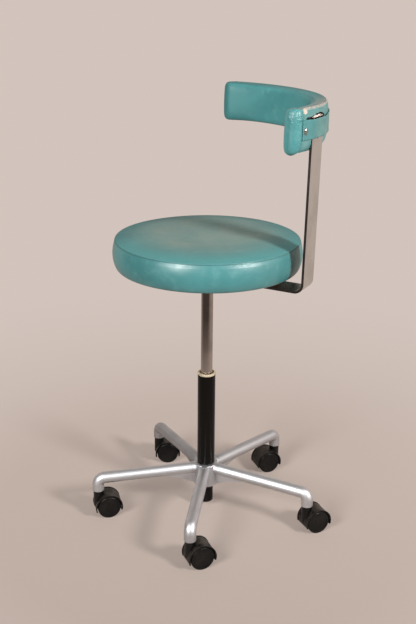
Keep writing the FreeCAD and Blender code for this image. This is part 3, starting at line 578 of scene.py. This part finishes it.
def make_staples():
    """Staples just below the hem, each a little out of line."""
    verts, faces = [], []
    for k in range(STAPLE_COUNT):
        a = 2 * math.pi * (k + 0.2 * math.sin(k * 1.7)) / STAPLE_COUNT
        r = BOARD_R - 0.017 + 0.0015 * math.sin(k * 2.3)
        tilt = a + math.pi / 2 + 0.3 * math.sin(k * 3.1)
        centre = Vector((r * math.cos(a), r * math.sin(a), HEM_LOW - 0.0010))
        along = Vector((math.cos(tilt), math.sin(tilt), 0)) * 0.005
        side = Vector((-along.y, along.x, 0)).normalized() * 0.0005
        base = len(verts)
        for z in (-0.0003, 0.0006):
            for s, t in ((-1, -1), (1, -1), (1, 1), (-1, 1)):
                verts.append(centre + along * s + side * t + Vector((0, 0, z)))
        for face in BOX_FACES:
            faces.append(tuple(base + i for i in face))
    staples = mesh_object("hem_staples", verts, faces, False)
    staples.data.materials.append(STEEL_SMALL)
    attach(staples, "seat")
    return staples


def make_hem():
    """Upholstery turned in under the board and pleated round the curve."""
    inner, outer = BOARD_R - HEM_WIDTH, BOARD_R - 0.0004
    segments, verts, faces = 4 * HEM_PLEATS, [], []
    for k in range(segments):
        a = 2 * math.pi * k / segments
        edge = inner + 0.0012 * math.sin(5 * a) + 0.0008 * math.sin(17 * a + 1.0)
        drop = -0.0007 * (0.5 + 0.5 * math.cos(HEM_PLEATS * a))
        section = [(outer, HEM_HIGH), (edge, HEM_HIGH), (edge, HEM_LOW + drop),
                   ((inner + outer) / 2, HEM_LOW + drop), (outer, HEM_LOW + drop * 0.3)]
        verts += [(r * math.cos(a), r * math.sin(a), z) for r, z in section]
    corners = len(section)
    for k in range(segments):
        a, b = k * corners, ((k + 1) % segments) * corners
        for j in range(corners):
            n = (j + 1) % corners
            faces.append((a + j, a + n, b + n, b + j))
    hem = mesh_object("seat_hem_leather", verts, faces)
    hem.data.materials.append(strip_material("teal_hem"))
    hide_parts("seat_hem")
    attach(hem, "seat")
    staples = make_staples()


# Curved rest: a crowned pad with round ends and welted seams, and the cover strip over the bar's end

# Half sections of the pad in millimetres from its middle line, top to bottom: the outer one turns
# sharply at the welts, the inner one is soft
OUTER = [(0, 81.4), (7, 81.6), (12.4, 81.0), (15.2, 78.6), (16.6, 74.5), (17.2, 68.0), (17.5, 60.0),
         (17.7, 50.0), (17.75, 40.8), (17.7, 31.6), (17.4, 22.6), (16.8, 15.6), (15.6, 9.8), (13.6, 5.6),
         (10.8, 2.8), (6.0, 0.8), (0, 0.2)]
INNER = [(0, 81.4), (5.0, 81.35), (9.4, 80.9), (12.9, 79.4), (15.4, 76.6), (16.8, 72.0), (17.4, 64.0),
         (17.65, 52.0), (17.75, 40.8), (17.7, 29.6), (17.5, 18.5), (17.0, 10.6), (15.6, 5.4), (13.0, 2.3),
         (9.4, 0.8), (5.0, 0.3), (0, 0.2)]
WELT = 2                    # place of the upper welt in the outer half section


def ease(t):
    t = min(1.0, max(0.0, t))
    return t * t * (3 - 2 * t)


def bake(obj):
    """Replaces an object's mesh with the result of its modifiers."""
    graph = bpy.context.evaluated_depsgraph_get()
    result = obj.evaluated_get(graph)
    mesh = bpy.data.meshes.new_from_object(result, preserve_all_data_layers=True, depsgraph=graph)
    obj.modifiers.clear()
    obj.data = mesh


def cut_slot(pad):
    """Opens the slot in the pad's back that the bar is let into, torn a little wider at its upper end."""
    outline = [(-25.6, -8), (25.6, -8), (25.9, 58), (34.0, 61.5), (27.0, 65.2), (16.0, 68.2), (3.0, 69.6),
               (-9.0, 68.8), (-20.0, 66.6), (-30.0, 65.2), (-48.0, 64.3), (-48.0, 60.4), (-25.9, 57.0)]
    verts, count = [], len(outline)
    for radius in (PAD_R - BAR_T - 0.0007, PAD_R + 0.03):
        for y, rise in outline:
            y /= 1000.0
            verts.append(rest_place(math.hypot(radius, y), math.atan2(y, radius), rise / 1000.0))
    faces = [tuple(range(count - 1, -1, -1)), tuple(range(count, 2 * count))]
    faces += [(k, (k + 1) % count, count + (k + 1) % count, count + k) for k in range(count)]
    cutter = mesh_object("slot_cutter", verts, faces, False)
    mod = pad.modifiers.new("slot", "BOOLEAN")
    mod.operation, mod.solver, mod.object = "DIFFERENCE", "EXACT", cutter
    bake(pad)
    bpy.data.objects.remove(cutter)


def make_pad():
    """The padded rest with its round ends, the slot for the bar and the two welts."""
    n, mid, stations, turns = len(OUTER), PAD_R - PAD_T / 2, 96, 16
    verts, faces, pins = [], [], []

    def put(radius, angle, rise, pin):
        verts.append(rest_place(radius, angle, rise))
        pins.append(pin)
        return len(verts) - 1

    rings = []
    for k in range(stations + 1):
        a = PAD_START + (PAD_END - PAD_START) * k / stations
        outer = []
        for j, (x, z) in enumerate(OUTER):
            held = j in (WELT, n - 1 - WELT) or (a < 0.30 and 3 < j < n - 4)
            outer.append(put(mid + x / 1000, a, z / 1000, float(held)))
        inner = [outer[0]] + [put(mid - x / 1000, a, z / 1000, 0.0) for x, z in INNER[1:-1]] + [outer[-1]]
        rings.append((outer, inner))
    for (o1, i1), (o2, i2) in zip(rings, rings[1:]):
        for j in range(n - 1):
            faces.append((o1[j], o1[j + 1], o2[j + 1], o2[j]))
            faces.append((i1[j], i2[j], i2[j + 1], i1[j + 1]))
    for (outer, inner), a, sign in ((rings[0], PAD_START, -1), (rings[-1], PAD_END, 1)):
        columns = [inner]
        for k in range(1, turns):
            t = math.pi * k / turns
            share, sewn = ease(k / turns * 1.25 - 0.2), k == turns - 3
            column = [inner[0]]
            for (x1, z1), (x2, z2) in zip(INNER[1:-1], OUTER[1:-1]):
                x, z = (x1 + (x2 - x1) * share) / 1000, (z1 + (z2 - z1) * share) / 1000
                low = 1 - z / PAD_H
                fuller = 1 + math.sin(t) * (0.05 if sign > 0 else 0.07 * low) - (0.05 if sewn else 0)
                z -= 0.0045 * math.sin(t) * low ** 2 if sign < 0 else 0
                dx, dy = -x * fuller * math.cos(t), sign * x * fuller * math.sin(t)
                column.append(put(math.hypot(mid + dx, dy), a + math.atan2(dy, mid + dx), z, float(sewn)))
            columns.append(column + [inner[-1]])
        columns.append(outer)
        for c1, c2 in zip(columns, columns[1:]):
            for j in range(n - 1):
                quad = [c1[j], c1[j + 1], c2[j + 1], c2[j]]
                if sign > 0:
                    quad = [c1[j], c2[j], c2[j + 1], c1[j + 1]]
                faces.append(tuple(dict.fromkeys(quad)))
    pad = mesh_object("rest_padding", verts, faces)
    puff(pad, pins, 2.0, 0.0015)
    subdivide(pad, 2)
    bake(pad)
    lines = [[pad.data.vertices[r[0][j]].co.copy() for r in rings] for j in (WELT, n - 1 - WELT)]
    cut_slot(pad)
    pad.data.materials.clear()
    pad.data.materials.append(pad_material())
    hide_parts("rest_pad")
    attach(pad, "seat")
    piping = welt_material()
    for name, line in zip(("rest_welt_top", "rest_welt_bottom"), lines):
        welt = tube(name, line, 0.0008)
        welt.data.materials.append(piping)
        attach(welt, "seat")


def strip_plan():
    """The strip's inner line in plan, about the pad's axis: round the pad and flat over the bar."""
    skin, corner_y = PAD_R + 0.0006, BAR_HALF + 0.0008
    touch = 2 * math.atan2(corner_y, skin)
    start, end = PAD_START + math.radians(0.05), PAD_END - math.radians(0.05)

    def arc(a):
        return (skin * math.cos(a), skin * math.sin(a))

    near, far = (skin, -corner_y), (skin, corner_y)
    plan = [arc(start + (-touch - start) * k / 5) for k in range(5)]
    for (x1, y1), (x2, y2), count in ((arc(-touch), near, 8), (near, far, 20), (far, arc(touch), 8)):
        plan += [(x1 + (x2 - x1) * k / count, y1 + (y2 - y1) * k / count) for k in range(count)]
    plan += [arc(touch + (end - touch) * k / 90) for k in range(91)]
    return plan


def make_strip():
    """The strip along the pad's back, its upper edge gaping over the bar's end."""
    plan = strip_plan()
    rows, verts, faces = 14, [], []
    for thick in (0.0, STRIP_T):
        for x, y in plan:
            r, a = math.hypot(x, y), math.atan2(y, x)
            gape = ease((y + 0.050) / 0.030) * ease((0.075 - y) / 0.045)
            for j in range(rows + 1):
                v = j / rows
                rise = STRIP_LOW + (STRIP_HIGH - STRIP_LOW) * v - 0.0010 * gape * ease((v - 0.5) / 0.5)
                lift = 0.0017 * gape * ease((v - 0.45) / 0.55) + 0.0007 * ease((0.15 - v) / 0.15)
                lift += 0.0004 * math.sin(90 * y + 3 * v) * ease(4 * v * (1 - v))
                verts.append(rest_place(r + thick + lift, a, rise))
    count = len(plan)
    shift = count * (rows + 1)
    for i in range(count - 1):
        for j in range(rows):
            a, b = i * (rows + 1) + j, (i + 1) * (rows + 1) + j
            faces.append((a, a + 1, b + 1, b))
            faces.append((a + shift, b + shift, b + 1 + shift, a + 1 + shift))
        for j in (0, rows):
            a, b = i * (rows + 1) + j, (i + 1) * (rows + 1) + j
            quad = (a, b, b + shift, a + shift)
            faces.append(quad if j == 0 else quad[::-1])
    for i in (0, count - 1):
        for j in range(rows):
            a = i * (rows + 1) + j
            quad = (a, a + 1, a + 1 + shift, a + shift)
            faces.append(quad[::-1] if i == 0 else quad)
    strip = mesh_object("rest_cover_strip", verts, faces)
    strip.data.materials.append(strip_material("teal_strip"))
    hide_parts("cover_strip")
    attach(strip, "seat")


def make_filling():
    """Torn wadding that shows in the slot above the bar's end."""
    tufts = [(-17, 62.6, 3.4), (-10, 63.6, 4.2), (-3, 63.2, 4.0), (4, 63.9, 3.6), (11, 63.0, 4.0),
             (18, 62.6, 3.2)]
    verts, faces, rings, sides = [], [], 7, 10
    for k, (y, rise, size) in enumerate(tufts):
        base = len(verts)
        for i in range(rings + 1):
            t = math.pi * i / rings
            for m in range(sides):
                u = 2 * math.pi * m / sides
                rough = 1 + 0.22 * math.sin(3 * u + k * 1.9 + 2 * t) + 0.15 * math.sin(5 * t + u + k)
                reach = size * rough / 1000
                dy = y / 1000 + 1.35 * reach * math.sin(t) * math.cos(u)
                dx = PAD_R - 0.0028 + 0.6 * reach * math.sin(t) * math.sin(u)
                dz = rise / 1000 + 0.55 * reach * math.cos(t)
                verts.append(rest_place(math.hypot(dx, dy), math.atan2(dy, dx), dz))
        for i in range(rings):
            for m in range(sides):
                a, b = base + i * sides + m, base + i * sides + (m + 1) % sides
                faces.append((a, a + sides, b + sides, b))
    wad = mesh_object("rest_filling", verts, faces)
    wad.data.materials.append(filling_material())
    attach(wad, "seat")


# Materials on the CAD pieces

def paint(material, *names):
    for name in names:
        data = NODES[name].data
        data.materials.clear()
        data.materials.append(material)


STEEL_SMALL = steel("zinc_steel", (0.55, 0.54, 0.52, 1), (0.40, 0.38, 0.36, 1), 0.28, (1, 1, 1), 300.0)
CHROME = steel("bright_steel", (0.54, 0.49, 0.465, 1), (0.42, 0.375, 0.35, 1), 0.06, (1, 1, 0.03), 900.0)
BAR_STEEL = steel("satin_bar", (0.90, 0.87, 0.86, 1), (0.76, 0.73, 0.72, 1), 0.16, (1, 1, 0.04), 700.0, 0.30)
HOOD = black_plastic("hood_plastic", 0.26, 0.22)
WHEEL = black_plastic("wheel_plastic", 0.28, 0.10)
BLACK = black_paint()
WOOD = plywood()
RUBBER = rubber()
NYLON = nylon()

ARM_PAINTED_SHADES = (1.0, 0.90, 0.76, 1.0, 0.92)     # painted shade: each arm darkened by its own amount
paint(aluminium("cast_hub", 0.0, 0.92), "hub")
for k in range(1, ARM_COUNT + 1):
    direction = math.radians(FIRST_ARM + 360 / ARM_COUNT * (k - 1))
    paint(aluminium("cast_arm_%d" % k, direction, ARM_PAINTED_SHADES[k - 1]), "arm_%d" % k)
    paint(CHROME, "caster_stem_%d" % k)
    paint(STEEL_SMALL, "caster_axle_%d" % k)
    paint(HOOD, "caster_hood_%d" % k)
    paint(WHEEL, "wheel_left_%d" % k, "wheel_right_%d" % k)
paint(BLACK, "column_tube", "seat_plate")
paint(NYLON, "guide_bush")
paint(CHROME, "gas_cylinder", "piston_rod", "release_pin")
paint(STEEL_SMALL, "thrust_washer_lower", "thrust_washer_upper", "ball_cage", "retaining_clip", "piston",
      "rod_gland", "plate_screws", "lever_pivot", "release_lever", "bar_bolts", "bar_nuts", "rest_screws",
      "strip_tacks")
paint(BAR_STEEL, "back_bar")
paint(black_plastic("grip_plastic", 0.35, 0.1), "lever_grip")
paint(RUBBER, "bump_stop")
paint(WOOD, "seat_board", "rest_core")

make_seat()
make_hem()
make_pad()
make_strip()
make_filling()


# Stage: floor, lights and camera

FLOOR, FLOOR_NEAR = srgb(210, 196, 188), srgb(199, 183, 174)
DARK_SIDE = math.radians(-45.0)
LAMP_AIM = 0.6

# Camera as solved from the photograph: its own angles, its place before the turn and its focal length
CAMERA_YAW, CAMERA_PITCH, CAMERA_ROLL = 0.0010, 0.3457, 0.0086
CAMERA_BACK, CAMERA_HEIGHT = 1.8554, 1.1293
FOCAL_PIXELS, IMAGE_HEIGHT, SENSOR = 944.56, 624.0, 36.0


def make_floor():
    """A pale floor that runs out to an even tone; mirrors see a dark room in front and a pale wall behind."""
    half = 200
    verts = [(-half, -half, 0), (half, -half, 0), (half, half, 0), (-half, half, 0)]
    floor = mesh_object("floor", verts, [(0, 1, 2, 3)], False)
    p = Paint("pale_floor")
    x, y, _ = p.xyz()
    away = p.hypot(x, y)
    cloth = p.mix(p.noise(220.0, 2.0), (0.405, 0.348, 0.315, 1), (0.385, 0.330, 0.298, 1))
    ahead = p.toward(x, y, CAMERA_SIDE)
    cloth = p.mix(1.0, cloth, p.span(ahead, -1.0, 0.5, 1.75, 0.75, False), "MULTIPLY")
    p.set(Base_Color=cloth, Roughness=0.9, Specular_IOR_Level=0.1)
    seen = p.add("ShaderNodeLightPath").outputs["Is Camera Ray"]
    front = p.span(p.toward(x, y, DARK_SIDE), -0.5, 1.0)
    room = p.mix(front, (0.46, 0.385, 0.335, 1), (0.085, 0.066, 0.056, 1))
    plain = p.mix(p.span(away, 0.3, 1.6), FLOOR_NEAR, FLOOR)
    glow = p.add("ShaderNodeEmission", {"Color": p.mix(seen, room, plain), "Strength": 1.0})
    even = p.times(seen, p.math("MAXIMUM", p.span(away, 0.20, 0.85), 0.35))
    share = p.math("MAXIMUM", p.span(away, 0.40, 1.3), even)
    both = p.add("ShaderNodeMixShader", {0: share, 1: p.bsdf.outputs[0], 2: glow.outputs[0]})
    p.tree.links.new(both.outputs[0], p.out.inputs[0])
    floor.data.materials.append(p.mat)


def make_world():
    """Pale wall on the far side, a darker room behind the camera and a dim ceiling."""
    world = bpy.data.worlds.new("studio")
    bpy.context.scene.world = world
    world.use_nodes = True
    p = Paint("studio", world.node_tree)
    x, y, z = p.xyz(p.add("ShaderNodeTexCoord").outputs["Generated"])
    front = p.span(p.toward(x, y, DARK_SIDE), -0.25, 0.40)
    room = p.mix(front, (0.54, 0.455, 0.40, 1), (0.036, 0.029, 0.025, 1))
    room = p.mix(p.span(z, 0.55, 0.95), room, (0.16, 0.14, 0.13, 1))
    seen = p.add("ShaderNodeLightPath").outputs["Is Camera Ray"]
    p.put(p.bsdf.inputs["Color"], p.mix(seen, room, FLOOR))


def lamp(name, azimuth, elevation, distance, size, power, colour):
    """A round lamp that points at the middle of the stool."""
    data = bpy.data.lights.new(name, "AREA")
    data.shape = "DISK"
    data.size = size
    data.energy = power
    data.color = colour
    obj = bpy.data.objects.new(name, data)
    bpy.context.scene.collection.objects.link(obj)
    a, e = math.radians(azimuth), math.radians(elevation)
    way = Vector((math.cos(e) * math.cos(a), math.cos(e) * math.sin(a), math.sin(e)))
    obj.location = way * distance + Vector((0, 0, LAMP_AIM))
    obj.rotation_euler = way.to_track_quat("Z", "Y").to_euler()
    obj.visible_camera = False


def make_camera():
    yaw, pitch, roll = CAMERA_YAW, CAMERA_PITCH, CAMERA_ROLL
    fwd = Vector((math.sin(yaw) * math.cos(pitch), math.cos(yaw) * math.cos(pitch), -math.sin(pitch)))
    side = Vector((math.cos(yaw), -math.sin(yaw), 0))
    up = side.cross(fwd)
    right = side * math.cos(roll) + up * math.sin(roll)
    up = up * math.cos(roll) - side * math.sin(roll)
    spin = Matrix.Rotation(CAMERA_TURN, 3, "Z")
    axes = Matrix((spin @ right, spin @ up, -(spin @ fwd))).transposed()
    data = bpy.data.cameras.new("camera")
    data.sensor_width = SENSOR
    data.lens = FOCAL_PIXELS * SENSOR / IMAGE_HEIGHT
    cam = bpy.data.objects.new("camera", data)
    place = spin @ Vector((0, -CAMERA_BACK, CAMERA_HEIGHT))
    cam.matrix_world = Matrix.Translation(place) @ axes.to_4x4()
    bpy.context.scene.collection.objects.link(cam)
    bpy.context.scene.camera = cam


make_floor()
make_world()
lamp("key", 31.0, 23.0, 2.4, 0.50, 66, (1.0, 0.96, 0.93))
lamp("fill", -50.0, 22.0, 2.4, 1.00, 65, (1.0, 0.97, 0.94))
make_camera()
bpy.context.scene.view_settings.view_transform = "Standard"
